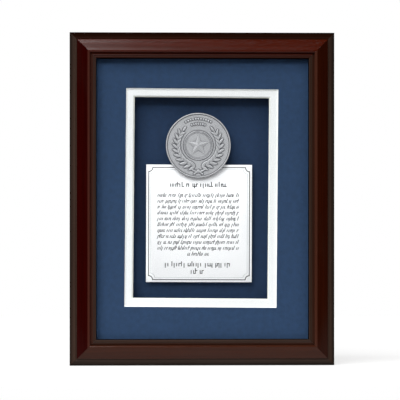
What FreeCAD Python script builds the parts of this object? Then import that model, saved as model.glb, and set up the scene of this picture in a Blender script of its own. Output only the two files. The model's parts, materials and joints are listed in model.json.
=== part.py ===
"""Coin display frame: a wall-hung, mitred hardwood shadow box with a struck medallion and a printed card.

Millimetres. +X right, +Z up, and the glazed front faces -Y. The origin is the centre of the whole frame's
box: the middle of its width and height, and half way between the moulding's crest and the bumpers' faces.
The glazing package goes into the rabbet from behind, and turn buttons on the back hold it there. From the
front it is glass, navy outer mat, white inner mat, four spacer strips, navy mount board, foam filler and a
hardboard back.
"""

import FreeCAD
import Part

import math
import os

Vector = FreeCAD.Vector

# ---- driving dimensions ------------------------------------------------------------------------------------

# The glazing is a letter-size sheet, and everything flat behind it is cut to the same size.
SHEET_WIDTH = 215.9
SHEET_HEIGHT = 279.4

# The moulding, seen end on: `across` runs from its outer side to the sight edge, `rise` from back to front.
SIGHT_WIDTH = 202.0
SIGHT_HEIGHT = 267.0
FACE_WIDTH = 25.5
MOULDING_DEPTH = 33.5
RABBET_WIDTH = 7.4
RABBET_DEPTH = 26.4
BACK_EDGE_CHAMFER = 0.5

# The moulding's front, from the outer side inwards.
OVOLO_RADIUS = 6.0
OVOLO_SWEEP = 80.0
OVOLO_START_RISE = 21.0
FILLET_END_ACROSS = 6.6
PANEL_START_ACROSS = 6.9
PANEL_START_RISE = 28.6
PANEL_BULGE = 0.55
CREST_ACROSS = 17.9
CREST_RADIUS = 1.8
LIP_GROOVE_WIDTH = 0.3
LIP_GROOVE_RISE = 30.3
LIP_PEAK_ACROSS = 24.4
LIP_PEAK_RISE = 32.1
LIP_BULGE = 0.3
LIP_NOSE_ACROSS = 25.1
LIP_NOSE_RISE = 31.0

# The layers behind the moulding's lip.
GLASS_THICKNESS = 2.0
MAT_THICKNESS = 1.4
SPACER_DEPTH = 12.0
SPACER_WIDTH = 8.0
MOUNT_BOARD_THICKNESS = 1.4
FOAM_BACKER_THICKNESS = 5.0
BACK_PANEL_THICKNESS = 3.0

# The mats' windows, measured on each mat's rear face, with a 45 degree bevel that opens towards the front.
# They are cut half a degree out of square with the boards, as a hand-fitted pair of mats is.
MAT_BEVEL = MAT_THICKNESS
WINDOW_SKEW = -0.5
OUTER_WINDOW_SIZE = (142.8, 206.0)
OUTER_WINDOW_CENTRE = (-0.85, 0.9)
INNER_WINDOW_SIZE = (128.5, 191.6)
INNER_WINDOW_CENTRE = (-1.05, 0.95)

# What is on show: a card floated on foam, with the medallion overlapping its top edge.
CARD_SIZE = (101.3, 112.4)
CARD_CENTRE = (-2.75, -23.4)
CARD_SKEW = -0.2
CARD_THICKNESS = 0.6
CARD_RISER_THICKNESS = 4.8
CARD_RISER_INSET = 4.0
MEDALLION_RADIUS = 31.1
MEDALLION_THICKNESS = 4.0
MEDALLION_CENTRE = (-3.6, 51.25)
MEDALLION_RIM_WIDTH = 1.3
MEDALLION_FIELD_DROP = 0.7
MEDALLION_EDGE_CHAMFER = 0.25
ROUNDEL_RADIUS = 14.0
ROUNDEL_WIDTH = 0.8
ROUNDEL_HEIGHT = 0.35
STAR_RADIUS = 11.6
STAR_WAIST_RADIUS = 4.75
STAR_HEIGHT = 0.65
STAR_POINTS = 5
MEDALLION_RISER_RADIUS = 24.0
RISER_TO_CARD_GAP = 0.5

# Turn buttons: their pivots lie on a line this far in from the frame's outer sides.
BUTTON_PIVOT_INSET = 10.0
BUTTON_THICKNESS = 1.0
BUTTON_PIVOT_END_RADIUS = 6.0
BUTTON_TIP_RADIUS = 4.0
BUTTON_REACH = 20.0
BUTTON_HOLE_RADIUS = 1.56
BUTTON_DIMPLE_RADIUS = 1.6
BUTTON_DIMPLE_RISE = 0.5
BUTTON_SIDE_HEIGHT = 110.0
BUTTON_GAP = 0.1

# Strap hangers with a D ring each, on the stiles' backs.
HANGER_INSET = 9.4
HANGER_AXIS_HEIGHT = 62.0
STRAP_WIDTH = 9.5
STRAP_LENGTH = 22.0
STRAP_THICKNESS = 1.6
STRAP_LOOP_WALL = 0.8
STRAP_SCREW_DROP = 8.3
STRAP_SCREW_HOLE_RADIUS = 1.7
RING_WIRE_RADIUS = 1.2
RING_CLEARANCE = 0.08
RING_HALF_WIDTH = 7.2
RING_ARM = 6.0
RING_CORNER_RADIUS = 2.0
RING_LEAN = 2.5

# Pan-head wood screws.
SCREW_SHANK_RADIUS = 1.5
SCREW_HEAD_RADIUS = 3.4
SCREW_HEAD_HEIGHT = 1.9
SCREW_LENGTH = 13.0
SCREW_POINT_LENGTH = 2.5
SCREW_SLOT_LENGTH = 4.0
SCREW_SLOT_WIDTH = 0.8
SCREW_SLOT_DEPTH = 1.0

# Rubber wall bumpers at the lower corners.
BUMPER_THICKNESS = 5.0
BUMPER_BASE_RADIUS = 6.0
BUMPER_FACE_RADIUS = 4.5
BUMPER_INSET = 9.5

# V-shaped steel nails that draw each mitre together from behind.
V_NAIL_LEG = 3.2
V_NAIL_THICKNESS = 0.5
V_NAIL_DEPTH = 10.0
V_NAIL_CORNER_DISTANCES = (5.5, 12.5)

# ---- sizes and planes that follow from them ----------------------------------------------------------------

FRAME_WIDTH = SIGHT_WIDTH + 2 * FACE_WIDTH
FRAME_HEIGHT = SIGHT_HEIGHT + 2 * FACE_WIDTH
HALF_WIDTH = FRAME_WIDTH / 2
HALF_HEIGHT = FRAME_HEIGHT / 2
RABBET_FLOOR_Z = -SIGHT_HEIGHT / 2 - RABBET_WIDTH
SHEET_CENTRE = (0, RABBET_FLOOR_Z + SHEET_HEIGHT / 2)
TOTAL_DEPTH = MOULDING_DEPTH + BUMPER_THICKNESS

CREST_Y = -TOTAL_DEPTH / 2
BACK_Y = CREST_Y + MOULDING_DEPTH
GLASS_Y = BACK_Y - RABBET_DEPTH
OUTER_MAT_Y = GLASS_Y + GLASS_THICKNESS
INNER_MAT_Y = OUTER_MAT_Y + MAT_THICKNESS
SPACER_Y = INNER_MAT_Y + MAT_THICKNESS
MOUNT_BOARD_Y = SPACER_Y + SPACER_DEPTH
FOAM_BACKER_Y = MOUNT_BOARD_Y + MOUNT_BOARD_THICKNESS
BACK_PANEL_Y = FOAM_BACKER_Y + FOAM_BACKER_THICKNESS
CARD_RISER_Y = MOUNT_BOARD_Y - CARD_RISER_THICKNESS
CARD_Y = CARD_RISER_Y - CARD_THICKNESS
MEDALLION_Y = CARD_Y - MEDALLION_THICKNESS
MEDALLION_FIELD_Y = MEDALLION_Y + MEDALLION_FIELD_DROP

LOOP_INNER_RADIUS = RING_WIRE_RADIUS + RING_CLEARANCE
LOOP_OUTER_RADIUS = LOOP_INNER_RADIUS + STRAP_LOOP_WALL
HANGER_AXIS_Y = BACK_Y + LOOP_OUTER_RADIUS

FORWARD = Vector(0, -1, 0)
X_AXIS = Vector(1, 0, 0)
Y_AXIS = Vector(0, 1, 0)
Z_AXIS = Vector(0, 0, 1)


# ---- helpers -----------------------------------------------------------------------------------------------

def block(width, depth, height, centre, front_y):
    """A box that is `width` by `height`, centred on (x, z), and reaches back from front_y."""
    corner = Vector(centre[0] - width / 2, front_y, centre[1] - height / 2)
    return Part.makeBox(width, depth, height, corner)


def polygon_prism(points, front_y, depth):
    """The outline through (x, z) points, reaching back from front_y."""
    ring = [Vector(x, front_y, z) for x, z in points]
    face = Part.Face(Part.makePolygon(ring + ring[:1]))
    return face.extrude(Vector(0, depth, 0))


def turned(shape, centre, degrees):
    """shape turned about the line along Y through (x, z). Negative is clockwise as seen from the front."""
    copy = shape.copy()
    copy.rotate(Vector(centre[0], 0, centre[1]), FORWARD, degrees)
    return copy


def arc_through(start, middle, end):
    return Part.Arc(start, middle, end).toShape()


def bulged_edge(start, end, bulge):
    """An arc from start to end whose middle stands `bulge` off the straight line, to its left."""
    along = (end - start).normalize()
    left = Vector(-along.y, along.x, 0)
    return arc_through(start, (start + end) * 0.5 + left * bulge, end)


# ---- the moulding ------------------------------------------------------------------------------------------

def moulding_section():
    """The moulding's section as a face: x is `across` and y is `rise`."""
    sweep = math.radians(OVOLO_SWEEP)
    ovolo_start = Vector(0, OVOLO_START_RISE, 0)
    ovolo_centre = ovolo_start + Vector(OVOLO_RADIUS, 0, 0)

    def on_ovolo(angle):
        return ovolo_centre + Vector(-math.cos(angle), math.sin(angle), 0) * OVOLO_RADIUS

    ovolo_end = on_ovolo(sweep)
    fillet_run = FILLET_END_ACROSS - ovolo_end.x
    fillet_end = ovolo_end + Vector(fillet_run, fillet_run / math.tan(sweep), 0)
    panel_start = Vector(PANEL_START_ACROSS, PANEL_START_RISE, 0)
    crest = Vector(CREST_ACROSS, MOULDING_DEPTH, 0)
    crest_centre = crest - Vector(0, CREST_RADIUS, 0)
    crest_foot = crest_centre + Vector(CREST_RADIUS, 0, 0)
    crest_middle = crest_centre + Vector(1, 1, 0).normalize() * CREST_RADIUS
    groove_start = Vector(crest_foot.x, LIP_GROOVE_RISE, 0)
    groove_end = groove_start + Vector(LIP_GROOVE_WIDTH, 0, 0)
    lip_peak = Vector(LIP_PEAK_ACROSS, LIP_PEAK_RISE, 0)
    nose = Vector(LIP_NOSE_ACROSS, LIP_NOSE_RISE, 0)
    rabbet_front = Vector(FACE_WIDTH, RABBET_DEPTH, 0)
    rabbet_corner = Vector(FACE_WIDTH - RABBET_WIDTH, RABBET_DEPTH, 0)
    back_inner = Vector(FACE_WIDTH - RABBET_WIDTH, 0, 0)
    back_outer = Vector(BACK_EDGE_CHAMFER, 0, 0)
    side_foot = Vector(0, BACK_EDGE_CHAMFER, 0)

    def line(start, end):
        return Part.makeLine(start, end)

    edges = [
        line(side_foot, ovolo_start),
        arc_through(ovolo_start, on_ovolo(sweep / 2), ovolo_end),
        line(ovolo_end, fillet_end),
        line(fillet_end, panel_start),
        bulged_edge(panel_start, crest, PANEL_BULGE),
        arc_through(crest, crest_middle, crest_foot),
        line(crest_foot, groove_start),
        line(groove_start, groove_end),
        bulged_edge(groove_end, lip_peak, LIP_BULGE),
        bulged_edge(lip_peak, nose, LIP_BULGE),
        line(nose, rabbet_front),
        line(rabbet_front, rabbet_corner),
        line(rabbet_corner, back_inner),
        line(back_inner, back_outer),
        line(back_outer, side_foot),
    ]
    return Part.Face(Part.Wire(edges))


def mitred_length(length):
    """Moulding for the top of the frame, centred on X, with its outer side on z = 0 and mitred ends."""
    section = moulding_section()
    # across -> -Z, rise -> -Y, and the extrusion runs along X
    section.transformShape(FreeCAD.Matrix(
        0, 0, 1, -length / 2,
        0, -1, 0, 0,
        -1, 0, 0, 0,
        0, 0, 0, 1))
    stick = section.extrude(X_AXIS * length)
    reach = FACE_WIDTH + 2.0
    overshoot = 1.0
    keep = polygon_prism(
        [(-length / 2 - overshoot, overshoot), (length / 2 + overshoot, overshoot),
         (length / 2 - reach, -reach), (-length / 2 + reach, -reach)],
        -MOULDING_DEPTH - overshoot, MOULDING_DEPTH + 2 * overshoot)
    return stick.common(keep)


def rail(length, turn_degrees, outer_distance):
    """A mitred length moved to its side of the frame: 0 is the top, 90 the right as seen from the front."""
    piece = mitred_length(length)
    piece.translate(Vector(0, BACK_Y, outer_distance))
    return turned(piece, (0, 0), -turn_degrees)


def v_nail(corner_x, corner_z, distance):
    """One V nail across a mitre: its corner points at the frame's outer corner."""
    inward_x = -math.copysign(1, corner_x)
    inward_z = -math.copysign(1, corner_z)
    x = corner_x + inward_x * distance
    z = corner_z + inward_z * distance
    leg, wall = V_NAIL_LEG, V_NAIL_THICKNESS
    outline = [(0, 0), (leg, 0), (leg, wall), (wall, wall), (wall, leg), (0, leg)]
    placed = [(x + inward_x * a, z + inward_z * b) for a, b in outline]
    return polygon_prism(placed, BACK_Y - V_NAIL_DEPTH, V_NAIL_DEPTH)


def corner_v_nails():
    return [v_nail(x, z, distance)
            for x in (-HALF_WIDTH, HALF_WIDTH)
            for z in (-HALF_HEIGHT, HALF_HEIGHT)
            for distance in V_NAIL_CORNER_DISTANCES]


# ---- fasteners ---------------------------------------------------------------------------------------------

def wood_screw(x, z, seat_y):
    """A pan-head wood screw driven towards the front, whose head sits on seat_y. It has a cross recess."""
    tip_y = seat_y - SCREW_LENGTH
    shank_length = SCREW_LENGTH - SCREW_POINT_LENGTH
    shank = Part.makeCylinder(SCREW_SHANK_RADIUS, shank_length, Vector(x, seat_y, z), FORWARD)
    point = Part.makeCone(SCREW_SHANK_RADIUS, 0, SCREW_POINT_LENGTH,
                          Vector(x, tip_y + SCREW_POINT_LENGTH, z), FORWARD)
    head = Part.makeCylinder(SCREW_HEAD_RADIUS, SCREW_HEAD_HEIGHT, Vector(x, seat_y, z), Y_AXIS)
    crown = [e for e in head.Edges if e.BoundBox.YMin > seat_y + SCREW_HEAD_HEIGHT / 2]
    head = head.makeFillet(SCREW_HEAD_HEIGHT * 0.6, crown[:1])
    slot_y = seat_y + SCREW_HEAD_HEIGHT - SCREW_SLOT_DEPTH
    screw = head.fuse([shank, point]).removeSplitter()
    for width, height in ((SCREW_SLOT_LENGTH, SCREW_SLOT_WIDTH), (SCREW_SLOT_WIDTH, SCREW_SLOT_LENGTH)):
        screw = screw.cut(block(width, SCREW_SLOT_DEPTH * 2, height, (x, z), slot_y))
    return screw


def screw_bore(x, z, seat_y):
    """What a screw takes out of the wood: its shank and point, without the head."""
    return wood_screw(x, z, seat_y).common(
        block(4 * SCREW_SHANK_RADIUS, SCREW_LENGTH, 4 * SCREW_SHANK_RADIUS, (x, z), seat_y - SCREW_LENGTH))


# ---- turn buttons ------------------------------------------------------------------------------------------

BUTTON_X = HALF_WIDTH - BUTTON_PIVOT_INSET
BUTTON_Z = HALF_HEIGHT - BUTTON_PIVOT_INSET
# name: pivot x, pivot z, and where the button points, in degrees from +X towards +Z
TURN_BUTTONS = {
    "turn_button_top": (0, BUTTON_Z, 270),
    "turn_button_bottom": (0, -BUTTON_Z, 90),
    "turn_button_upper_left": (-BUTTON_X, BUTTON_SIDE_HEIGHT, 0),
    "turn_button_lower_left": (-BUTTON_X, -BUTTON_SIDE_HEIGHT, 0),
    "turn_button_upper_right": (BUTTON_X, BUTTON_SIDE_HEIGHT, 180),
    "turn_button_lower_right": (BUTTON_X, -BUTTON_SIDE_HEIGHT, 180),
}
BUTTON_FRONT_Y = BACK_Y + BUTTON_GAP
BUTTON_SCREW_SEAT_Y = BUTTON_FRONT_Y + BUTTON_THICKNESS + BUTTON_GAP


def turn_button(x, z, pointing):
    """A steel button: a wide round end about its pivot, tapering to a round tip with a finger dimple."""
    wide, tip, reach = BUTTON_PIVOT_END_RADIUS, BUTTON_TIP_RADIUS, BUTTON_REACH
    tilt = math.asin((wide - tip) / reach)
    sine, cosine = math.sin(tilt), math.cos(tilt)

    def at(centre, radius, side):
        return Vector(centre + radius * sine, 0, side * radius * cosine)

    upper_start, upper_end = at(0, wide, 1), at(reach, tip, 1)
    lower_start, lower_end = at(0, wide, -1), at(reach, tip, -1)
    outline = Part.Wire([
        Part.makeLine(upper_start, upper_end),
        arc_through(upper_end, Vector(reach + tip, 0, 0), lower_end),
        Part.makeLine(lower_end, lower_start),
        arc_through(lower_start, Vector(-wide, 0, 0), upper_start),
    ])
    plate = Part.Face(outline).extrude(Vector(0, BUTTON_THICKNESS, 0))
    dimple = Part.makeCone(BUTTON_DIMPLE_RADIUS, BUTTON_DIMPLE_RADIUS / 2, BUTTON_DIMPLE_RISE,
                           Vector(reach, BUTTON_THICKNESS, 0), Y_AXIS)
    hole = Part.makeCylinder(BUTTON_HOLE_RADIUS, 3 * BUTTON_THICKNESS,
                             Vector(0, -BUTTON_THICKNESS, 0), Y_AXIS)
    button = plate.fuse(dimple).cut(hole)
    button = turned(button, (0, 0), pointing)
    button.translate(Vector(x, BUTTON_FRONT_Y, z))
    return button


def turn_button_screws():
    return [wood_screw(x, z, BUTTON_SCREW_SEAT_Y) for x, z, _ in TURN_BUTTONS.values()]


# ---- hangers -----------------------------------------------------------------------------------------------

HANGER_X = HALF_WIDTH - HANGER_INSET
HANGERS = {"left": -HANGER_X, "right": HANGER_X}
HANGER_SCREW_Z = HANGER_AXIS_HEIGHT - STRAP_SCREW_DROP
HANGER_SCREW_SEAT_Y = BACK_Y + STRAP_THICKNESS


def hanger_strap(x):
    """A folded strap: a flat tail screwed to the stile, and a loop on top that the ring's bar turns in."""
    tail_length = STRAP_LENGTH - STRAP_WIDTH / 2
    tail = block(STRAP_WIDTH, STRAP_THICKNESS, tail_length,
                 (x, HANGER_AXIS_HEIGHT - tail_length / 2), BACK_Y)
    end = Part.makeCylinder(STRAP_WIDTH / 2, STRAP_THICKNESS,
                            Vector(x, BACK_Y, HANGER_AXIS_HEIGHT - tail_length), Y_AXIS)
    loop_start = Vector(x - STRAP_WIDTH / 2, HANGER_AXIS_Y, HANGER_AXIS_HEIGHT)
    loop = Part.makeCylinder(LOOP_OUTER_RADIUS, STRAP_WIDTH, loop_start, X_AXIS)
    eye = Part.makeCylinder(LOOP_INNER_RADIUS, STRAP_WIDTH + 2, loop_start - X_AXIS, X_AXIS)
    hole = Part.makeCylinder(STRAP_SCREW_HOLE_RADIUS, 3 * STRAP_THICKNESS,
                             Vector(x, BACK_Y - STRAP_THICKNESS, HANGER_SCREW_Z), Y_AXIS)
    return tail.fuse([end, loop]).removeSplitter().cut(eye).cut(hole)


def hanger_ring(x):
    """A wire D ring that leans on the stile: a bar through the strap's loop, two arms and a half-round bow."""
    half, arm, corner = RING_HALF_WIDTH, RING_ARM, RING_CORNER_RADIUS
    diagonal = corner * (1 - math.sqrt(0.5))

    def at(across, up):
        return Vector(across, 0, up)

    path = Part.Wire([
        Part.makeLine(at(-half + corner, 0), at(half - corner, 0)),
        arc_through(at(half - corner, 0), at(half - diagonal, diagonal), at(half, corner)),
        Part.makeLine(at(half, corner), at(half, arm)),
        arc_through(at(half, arm), at(0, arm + half), at(-half, arm)),
        Part.makeLine(at(-half, arm), at(-half, corner)),
        arc_through(at(-half, corner), at(-half + diagonal, diagonal), at(-half + corner, 0)),
    ])
    wire_section = Part.Wire(Part.makeCircle(RING_WIRE_RADIUS, at(0, 0), X_AXIS))
    ring = path.makePipeShell([wire_section], True, False)
    ring.rotate(Vector(0, 0, 0), X_AXIS, RING_LEAN)
    ring.translate(Vector(x, HANGER_AXIS_Y, HANGER_AXIS_HEIGHT))
    return ring


def hanger_screws():
    return [wood_screw(x, HANGER_SCREW_Z, HANGER_SCREW_SEAT_Y) for x in HANGERS.values()]


def wall_bumper(side):
    """A tapered rubber bumper at a lower corner: side is -1 on the left and 1 on the right."""
    foot = Vector(side * (HALF_WIDTH - BUMPER_INSET), BACK_Y, -HALF_HEIGHT + BUMPER_INSET)
    return Part.makeCone(BUMPER_BASE_RADIUS, BUMPER_FACE_RADIUS, BUMPER_THICKNESS, foot, Y_AXIS)


# ---- the glazing package -----------------------------------------------------------------------------------

def sheet(front_y, thickness):
    """A full sheet, standing on the bottom rail's rabbet."""
    return block(SHEET_WIDTH, thickness, SHEET_HEIGHT, SHEET_CENTRE, front_y)


def windowed_mat(front_y, window_size, window_centre):
    """A mat board with a bevelled window: window_size on the board's rear face, and larger in front."""
    overshoot = 1.0
    half_x, half_z = (side / 2 for side in window_size)
    front_grow = MAT_BEVEL + overshoot
    window = Part.makeWedge(
        -half_x - front_grow, -overshoot, -half_z - front_grow,
        -half_z + overshoot, -half_x + overshoot,
        half_x + front_grow, MAT_THICKNESS + overshoot, half_z + front_grow,
        half_z - overshoot, half_x - overshoot)
    window = turned(window, (0, 0), WINDOW_SKEW)
    window.translate(Vector(window_centre[0], front_y, window_centre[1]))
    return sheet(front_y, MAT_THICKNESS).cut(window)


def spacers():
    """Foam strips round the edge that hold the mats off the mount board: two across, and two between them."""
    centre_z = SHEET_CENTRE[1]
    to_across = SHEET_HEIGHT / 2 - SPACER_WIDTH / 2
    to_down = SHEET_WIDTH / 2 - SPACER_WIDTH / 2
    down_length = SHEET_HEIGHT - 2 * SPACER_WIDTH
    return {
        "spacer_top": block(SHEET_WIDTH, SPACER_DEPTH, SPACER_WIDTH, (0, centre_z + to_across), SPACER_Y),
        "spacer_bottom": block(SHEET_WIDTH, SPACER_DEPTH, SPACER_WIDTH, (0, centre_z - to_across), SPACER_Y),
        "spacer_left": block(SPACER_WIDTH, SPACER_DEPTH, down_length, (-to_down, centre_z), SPACER_Y),
        "spacer_right": block(SPACER_WIDTH, SPACER_DEPTH, down_length, (to_down, centre_z), SPACER_Y),
    }


def award_card():
    card = block(CARD_SIZE[0], CARD_THICKNESS, CARD_SIZE[1], CARD_CENTRE, CARD_Y)
    return turned(card, CARD_CENTRE, CARD_SKEW)


def card_riser():
    width, height = (side - 2 * CARD_RISER_INSET for side in CARD_SIZE)
    riser = block(width, CARD_RISER_THICKNESS, height, CARD_CENTRE, CARD_RISER_Y)
    return turned(riser, CARD_CENTRE, CARD_SKEW)


def star():
    """A low star whose ridges run from its points and waists up to a peak."""
    x, z = MEDALLION_CENTRE
    peak = Vector(x, MEDALLION_FIELD_Y - STAR_HEIGHT, z)
    rim = []
    for i in range(2 * STAR_POINTS):
        angle = math.pi / 2 + i * math.pi / STAR_POINTS
        radius = STAR_RADIUS if i % 2 == 0 else STAR_WAIST_RADIUS
        rim.append(Vector(x + radius * math.cos(angle), MEDALLION_FIELD_Y, z + radius * math.sin(angle)))
    facets = [Part.Face(Part.makePolygon([a, b, peak, a])) for a, b in zip(rim, rim[1:] + rim[:1])]
    base = Part.Face(Part.makePolygon(rim + rim[:1]))
    return Part.Solid(Part.makeShell(facets + [base]))


def medallion():
    """A struck disc with a raised rim, and a star in a raised roundel."""
    x, z = MEDALLION_CENTRE
    front = Vector(x, MEDALLION_Y, z)

    def disc(radius, from_y, to_y):
        return Part.makeCylinder(radius, to_y - from_y, Vector(x, from_y, z), Y_AXIS)

    blank = Part.makeCylinder(MEDALLION_RADIUS, MEDALLION_THICKNESS, front, Y_AXIS)
    blank = blank.makeChamfer(MEDALLION_EDGE_CHAMFER, [e for e in blank.Edges if len(e.Vertexes) == 1])
    recess = disc(MEDALLION_RADIUS - MEDALLION_RIM_WIDTH, MEDALLION_Y - 1, MEDALLION_FIELD_Y)
    roundel_y = MEDALLION_FIELD_Y - ROUNDEL_HEIGHT
    roundel = disc(ROUNDEL_RADIUS, roundel_y, MEDALLION_FIELD_Y).cut(
        disc(ROUNDEL_RADIUS - ROUNDEL_WIDTH, roundel_y - 1, MEDALLION_FIELD_Y + 1))
    return blank.cut(recess).fuse([roundel, star()])


def medallion_riser():
    """A foam disc behind the medallion, cut off straight just above the card."""
    x, z = MEDALLION_CENTRE
    thickness = MOUNT_BOARD_Y - CARD_Y
    disc = Part.makeCylinder(MEDALLION_RISER_RADIUS, thickness, Vector(x, CARD_Y, z), Y_AXIS)
    card_top = CARD_CENTRE[1] + CARD_SIZE[1] / 2 + RISER_TO_CARD_GAP
    width = 4 * MEDALLION_RISER_RADIUS
    return disc.common(block(width, thickness, width, (x, card_top + width / 2), CARD_Y))


# ---- the assembly ------------------------------------------------------------------------------------------

def fixed_woodwork():
    """The four lengths of moulding, with the nails' slots and the screws' holes taken out of them."""
    nails = corner_v_nails()
    bores = [screw_bore(x, z, BUTTON_SCREW_SEAT_Y) for x, z, _ in TURN_BUTTONS.values()]
    bores += [screw_bore(x, HANGER_SCREW_Z, HANGER_SCREW_SEAT_Y) for x in HANGERS.values()]
    taken_out = Part.makeCompound(nails + bores)
    lengths = {
        "top_rail": rail(FRAME_WIDTH, 0, HALF_HEIGHT),
        "right_stile": rail(FRAME_HEIGHT, 90, HALF_WIDTH),
        "bottom_rail": rail(FRAME_WIDTH, 180, HALF_HEIGHT),
        "left_stile": rail(FRAME_HEIGHT, 270, HALF_WIDTH),
    }
    return {name: piece.cut(taken_out) for name, piece in lengths.items()}


def all_nodes():
    """Every node by name. A list is a group of separate solids that share one node."""
    nodes = fixed_woodwork()
    nodes["corner_v_nails"] = corner_v_nails()
    nodes["glazing"] = sheet(GLASS_Y, GLASS_THICKNESS)
    nodes["outer_mat"] = windowed_mat(OUTER_MAT_Y, OUTER_WINDOW_SIZE, OUTER_WINDOW_CENTRE)
    nodes["inner_mat"] = windowed_mat(INNER_MAT_Y, INNER_WINDOW_SIZE, INNER_WINDOW_CENTRE)
    nodes.update(spacers())
    nodes["mount_board"] = sheet(MOUNT_BOARD_Y, MOUNT_BOARD_THICKNESS)
    nodes["card_riser"] = card_riser()
    nodes["award_card"] = award_card()
    nodes["medallion_riser"] = medallion_riser()
    nodes["medallion"] = medallion()
    nodes["foam_backer"] = sheet(FOAM_BACKER_Y, FOAM_BACKER_THICKNESS)
    nodes["back_panel"] = sheet(BACK_PANEL_Y, BACK_PANEL_THICKNESS)
    for name, (x, z, pointing) in TURN_BUTTONS.items():
        nodes[name] = turn_button(x, z, pointing)
    nodes["turn_button_screws"] = turn_button_screws()
    for side, x in HANGERS.items():
        nodes[f"hanger_strap_{side}"] = hanger_strap(x)
        nodes[f"hanger_ring_{side}"] = hanger_ring(x)
    nodes["hanger_screws"] = hanger_screws()
    nodes["wall_bumper_left"] = wall_bumper(-1)
    nodes["wall_bumper_right"] = wall_bumper(1)
    return nodes


def main():
    os.makedirs("parts", exist_ok=True)
    for name, shape in all_nodes().items():
        solids = shape if isinstance(shape, list) else shape.Solids
        for solid in solids:
            if not solid.isValid() or solid.Volume <= 0:
                raise SystemExit(f"{name} is not a valid closed solid")
        whole = solids[0] if len(solids) == 1 else Part.makeCompound(solids)
        whole.exportStep(f"parts/{name}.step")
        print(f"{name:26s} solids {len(solids):2d}  volume {whole.Volume / 1000:8.3f} cm3")


main()
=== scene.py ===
"""The looks of the coin display frame: mitred mahogany moulding, double mat, printed card and medallion.

Metres, in the CAD model's frame: +X right, +Z up, and the front faces -Y. Places are read from the frame.
"""

import itertools
import json
import math
import random

import bmesh
import bpy
import numpy as np
from bpy.types import NodeSocket
from mathutils import Matrix, Vector


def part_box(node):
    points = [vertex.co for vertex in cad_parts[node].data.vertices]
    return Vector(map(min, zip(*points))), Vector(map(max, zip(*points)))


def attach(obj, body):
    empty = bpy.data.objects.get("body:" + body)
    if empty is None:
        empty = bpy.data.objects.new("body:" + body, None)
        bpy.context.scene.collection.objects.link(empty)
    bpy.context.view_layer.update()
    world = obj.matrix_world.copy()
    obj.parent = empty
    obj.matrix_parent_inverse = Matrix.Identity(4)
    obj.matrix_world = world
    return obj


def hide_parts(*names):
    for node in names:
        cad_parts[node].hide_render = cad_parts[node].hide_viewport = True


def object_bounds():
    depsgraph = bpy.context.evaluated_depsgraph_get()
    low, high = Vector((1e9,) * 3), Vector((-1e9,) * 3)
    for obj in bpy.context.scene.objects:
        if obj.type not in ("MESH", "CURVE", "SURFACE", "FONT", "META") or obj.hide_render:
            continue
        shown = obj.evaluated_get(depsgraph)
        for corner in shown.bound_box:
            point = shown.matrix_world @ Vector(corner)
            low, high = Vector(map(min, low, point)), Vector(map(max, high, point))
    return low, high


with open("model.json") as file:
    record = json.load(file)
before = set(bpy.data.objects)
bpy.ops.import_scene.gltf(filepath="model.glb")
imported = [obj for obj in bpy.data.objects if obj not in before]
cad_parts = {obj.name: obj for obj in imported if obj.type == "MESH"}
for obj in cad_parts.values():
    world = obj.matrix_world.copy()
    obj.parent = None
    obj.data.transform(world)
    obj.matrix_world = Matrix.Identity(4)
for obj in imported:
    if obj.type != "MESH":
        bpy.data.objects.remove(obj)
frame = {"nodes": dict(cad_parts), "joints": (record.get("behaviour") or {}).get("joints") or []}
CAD_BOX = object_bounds()

MM = 0.001
RNG = random.Random(20)
JOINT_PLACES = {joint["child"]: Vector(joint["pos_m"]) for joint in frame["joints"]}


# ---- meshes and pieces ----

def make_mesh(name, verts, faces, smooth_degrees=35):
    """A mesh with outward normals, smooth except across edges sharper than smooth_degrees."""
    mesh = bpy.data.meshes.new(name)
    mesh.from_pydata([tuple(v) for v in verts], [], faces)
    work = bmesh.new()
    work.from_mesh(mesh)
    bmesh.ops.recalc_face_normals(work, faces=work.faces)
    work.to_mesh(mesh)
    work.free()
    mesh.shade_smooth()
    mesh.set_sharp_from_angle(angle=math.radians(smooth_degrees))
    return mesh


def joined(name, meshes, smooth_degrees=35):
    """One mesh that holds several closed shells."""
    verts, faces = [], []
    for mesh in meshes:
        first = len(verts)
        verts += [v.co.copy() for v in mesh.vertices]
        faces += [[first + i for i in p.vertices] for p in mesh.polygons]
    return make_mesh(name, verts, faces, smooth_degrees)


def in_metres(*outlines):
    """Outlines in millimetres turned into metres."""
    return [[(x * MM, z * MM) for x, z in outline] for outline in outlines]


def placed(mesh, matrix):
    mesh.transform(matrix)
    return mesh


def linked(name, data):
    """A new object in the scene."""
    holder = bpy.data.objects.new(name, data)
    bpy.context.scene.collection.objects.link(holder)
    return holder


def evaluated_mesh(holder):
    """The mesh that an object's curve or modifiers make."""
    bpy.context.view_layer.update()
    graph = bpy.context.evaluated_depsgraph_get()
    return bpy.data.meshes.new_from_object(holder.evaluated_get(graph))


def bridge(first, second, count):
    """Quads between two rings of vertices, given by the index where each ring begins."""
    return [[first + i, first + (i + 1) % count, second + (i + 1) % count, second + i] for i in range(count)]


def set_values(mesh, name, values, kind="FLOAT"):
    """A named value for each vertex, which a material reads."""
    field = "vector" if kind == "FLOAT_VECTOR" else "value"
    attribute = mesh.attributes.new(name, kind, "POINT")
    attribute.data.foreach_set(field, np.asarray(values, np.float32).ravel())


def add_piece(name, mesh, materials, body="frame", replaces=()):
    """A new piece that rides on a body and stands for CAD nodes."""
    for material in materials:
        mesh.materials.append(material)
    piece = linked(name, mesh)
    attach(piece, body)
    if replaces:
        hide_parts(*replaces)
    return piece


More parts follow.
